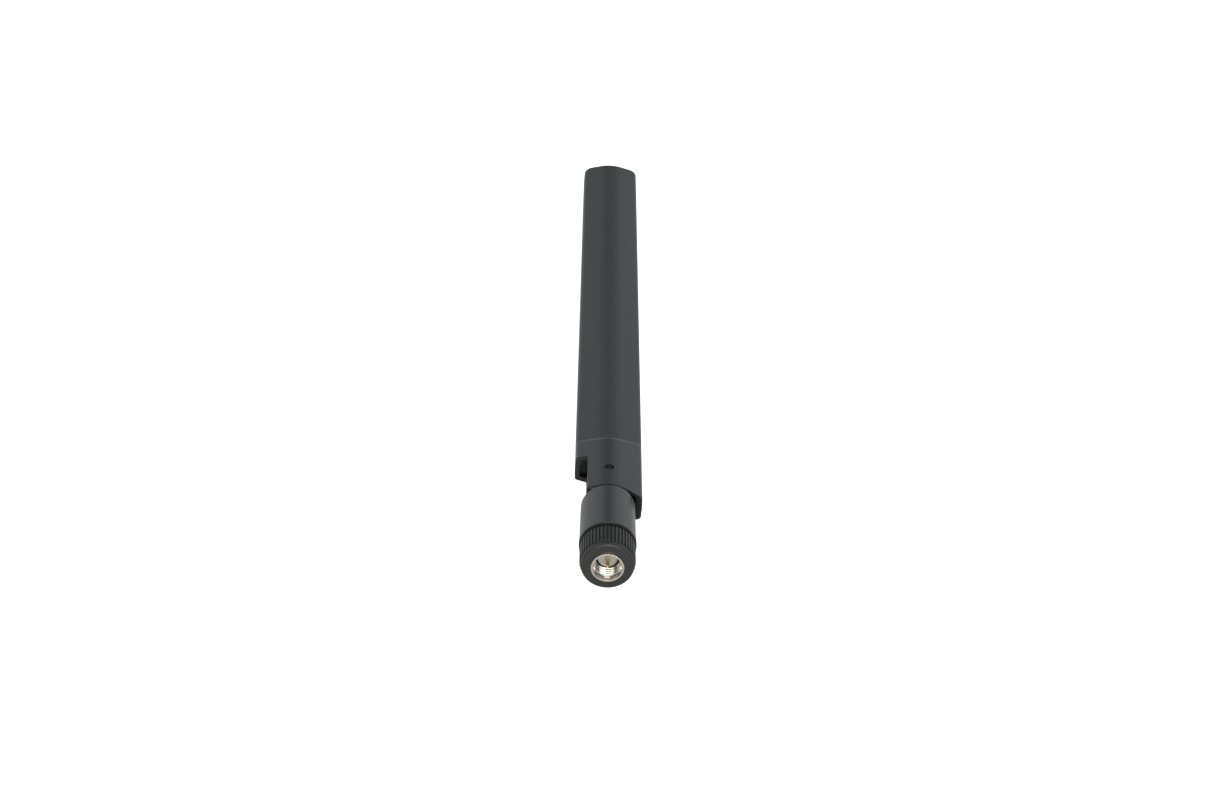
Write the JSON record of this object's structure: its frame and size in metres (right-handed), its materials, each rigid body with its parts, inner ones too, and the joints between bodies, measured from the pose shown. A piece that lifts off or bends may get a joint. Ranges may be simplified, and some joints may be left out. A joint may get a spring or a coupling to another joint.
{
  "type": "hinged omnidirectional blade antenna",
  "caption": "Slim blade antenna with a folding hinge and a freely turning ribbed coupling nut on a small coaxial screw plug.",
  "frame": {"origin": "on the connector's axis at the plug's reference plane, where its ferrule meets the jack", "axes": "+Y from the nut's mouth towards the blade's tip, +Z out of the blade's broad front face along the hinge axis, +X to the side away from the fold"},
  "size_m": [0.0158, 0.2046, 0.013],
  "materials": {
    "housing_plastic": "charcoal moulded plastic, fine matte texture",
    "radome_plastic": "charcoal moulded plastic, fine matte texture",
    "grip_plastic": "black moulded plastic, satin",
    "nickel_plate": "nickel plate over brass, satin",
    "gold_plate": "gold plate",
    "dielectric": "pale PTFE, waxy",
    "gasket_rubber": "silicone rubber",
    "spring_steel": "bright spring steel",
    "pivot_steel": "blackened steel",
    "cable_jacket": "black fluoropolymer jacket",
    "board": "green solder mask over glass-fibre board",
    "copper": "bare copper foil",
    "solder": "solder",
    "foam": "closed-cell foam tape"
  },
  "bodies": {
    "base": {"barrel": "housing_plastic", "connector_body": "nickel_plate", "dielectric_bead": "dielectric", "centre_pin": "gold_plate", "face_gasket": "gasket_rubber", "retaining_ring": "spring_steel", "crimp_sleeve": "nickel_plate", "coax_base": "cable_jacket"},
    "coupling_nut": {"nut_grip": "grip_plastic", "nut_sleeve": "nickel_plate"},
    "blade": {"yoke_front": "housing_plastic", "yoke_back": "housing_plastic", "pivot_pin_front": "pivot_steel", "pivot_pin_back": "pivot_steel", "spring_washer": "spring_steel", "thrust_washer": "spring_steel", "radome": "radome_plastic", "antenna_board": "board", "copper_upper_arm": "copper", "copper_lower_left_arm": "copper", "copper_lower_right_arm": "copper", "copper_feed_tab": "copper", "feed_solder": "solder", "braid_solder": "solder", "coax_core": "dielectric", "coax_blade": "cable_jacket", "coax_flex": "cable_jacket", "heat_shrink": "cable_jacket", "board_pad_lower": "foam", "board_pad_upper": "foam"}
  },
  "joints": [
    {"name": "blade_tilt", "type": "hinge", "parent": "base", "child": "blade", "pos_m": [0, 0.03035, 0], "axis": [0, 0, 1], "range_deg": [0, 90], "deforming": ["coax_flex"]},
    {"name": "nut_spin", "type": "hinge", "parent": "base", "child": "coupling_nut", "pos_m": [0, 0, 0], "axis": [0, 1, 0], "continuous": true}
  ]
}
